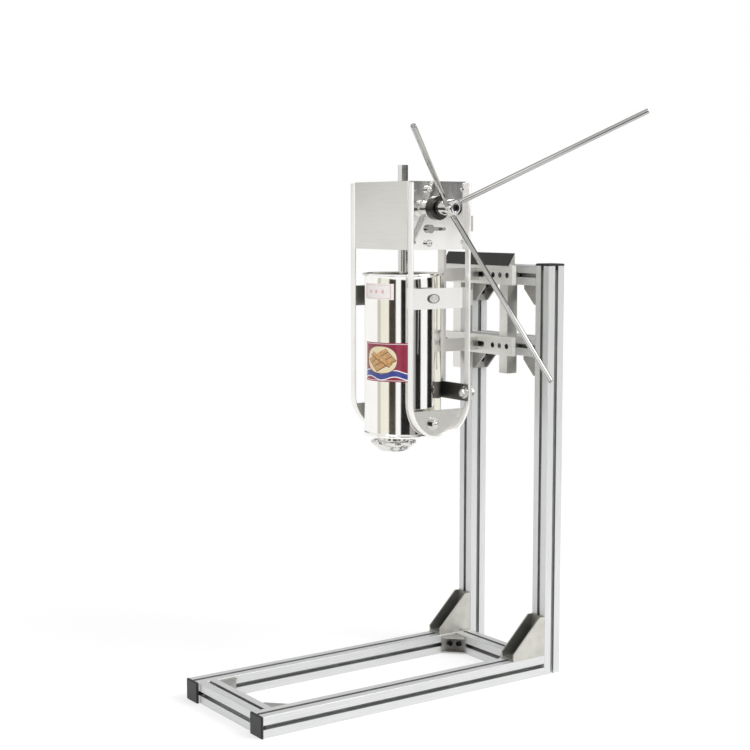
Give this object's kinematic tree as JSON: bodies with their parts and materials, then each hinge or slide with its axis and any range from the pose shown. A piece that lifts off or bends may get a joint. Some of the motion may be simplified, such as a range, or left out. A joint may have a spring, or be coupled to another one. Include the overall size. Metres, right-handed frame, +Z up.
{
  "type": "churro maker",
  "caption": "Hand-cranked vertical churro press with a rack-driven piston, a polished barrel and a star die, hung on a stand of slotted aluminium profile.",
  "frame": {"origin": "floor level, midway between the two uprights, at the middle of the pattern of their core bores", "axes": "+Z up; -Y from the uprights towards the open front end of the base; +X towards the crank side"},
  "size_m": [0.5143, 0.7125, 1.1164],
  "materials": {
    "profile": "satin anodised",
    "black_plastic": "matt",
    "cast_bracket": "satin cast",
    "black_screw": "blackened",
    "plain_steel": "turned",
    "satin_stainless": "brushed",
    "mirror_stainless": "polished",
    "bright_stainless": "polished",
    "bright_steel": "bright",
    "bearing_steel": "turned",
    "bronze": "turned",
    "white_plastic": "machined",
    "seal_rubber": "soft"
  },
  "bodies": {
    "stand": {"base_rail_near": "profile", "base_rail_far": "profile", "front_cross_rail": "profile", "rear_cross_rail": "profile", "upright_near": "profile", "upright_far": "profile", "upper_cross_rail": "profile", "lower_cross_rail": "profile", "end_caps": "black_plastic", "base_gussets": "cast_bracket", "corner_brackets": "cast_bracket", "bracket_screws": "black_screw", "slot_nuts": "plain_steel", "upper_mount_plate": "satin_stainless", "lower_mount_plate": "satin_stainless", "spacer_tubes": "satin_stainless", "mount_bolts": "black_screw", "top_guard": "mirror_stainless", "support_arms": "satin_stainless", "arm_bolts": "black_screw", "rear_post": "satin_stainless", "rear_bars": "satin_stainless", "stop_bar": "satin_stainless", "frame_bolts": "bright_steel", "loop_near": "bright_stainless", "loop_far": "bright_stainless", "mid_plate_near": "satin_stainless", "mid_plate_far": "satin_stainless", "plate_stud": "bright_stainless", "trunnion_plate_near": "satin_stainless", "trunnion_plate_far": "satin_stainless", "trunnion_pins": "bright_steel", "trunnion_nuts": "bright_steel", "side_plate_near": "mirror_stainless", "side_plate_far": "mirror_stainless", "front_cover": "satin_stainless", "rear_cover": "satin_stainless", "top_cover": "satin_stainless", "bottom_cover": "satin_stainless", "cover_screws": "bright_steel", "upper_guide": "plain_steel", "lower_guide": "plain_steel", "guide_bushes": "bronze", "guide_bolts": "bright_steel", "shaft_bearings": "bearing_steel", "barrel": "bright_stainless"},
    "crank": {"pinion_shaft": "plain_steel", "ratchet_wheel": "plain_steel", "crank_hub": "bright_steel", "crank_arm_1": "bright_steel", "crank_arm_2": "bright_steel", "crank_arm_3": "bright_steel", "hub_screw": "black_screw"},
    "rack": {"rack_rod": "bright_steel", "piston": "white_plastic", "piston_seal": "seal_rubber"},
    "pawl": {"pawl": "plain_steel", "pawl_lever": "bright_steel"},
    "die": {"nozzle_die": "bright_stainless"},
    "nozzle": {"nozzle_nut": "bright_stainless"}
  },
  "joints": [
    {"name": "crank_turn", "type": "hinge", "parent": "stand", "child": "crank", "pos_m": [-0.044, -0.226, 0.935], "axis": [-1, 0, 0], "range_deg": [0, 2370]},
    {"name": "rack_slide", "type": "slide", "parent": "stand", "child": "rack", "axis": [0, 0, 1], "range_m": [0, 0.3311]},
    {"name": "pawl_swing", "type": "hinge", "parent": "stand", "child": "pawl", "pos_m": [0.03, -0.246, 0.895], "axis": [1, 0, 0], "range_deg": [0, 21]},
    {"name": "die_drop", "type": "slide", "parent": "stand", "child": "die", "axis": [0, 0, -1], "range_m": [0, 0.0121]},
    {"name": "nut_turn", "type": "hinge", "parent": "die", "child": "nozzle", "pos_m": [-0.044, -0.262, 0.4675], "axis": [0, 0, -1], "range_deg": [0, 1080]}
  ],
  "couplings": [
    {"joint": "rack_slide", "follows": "crank_turn", "m_per_rad": 0.008},
    {"joint": "die_drop", "follows": "nut_turn", "m_per_rad": 0.00063662}
  ]
}
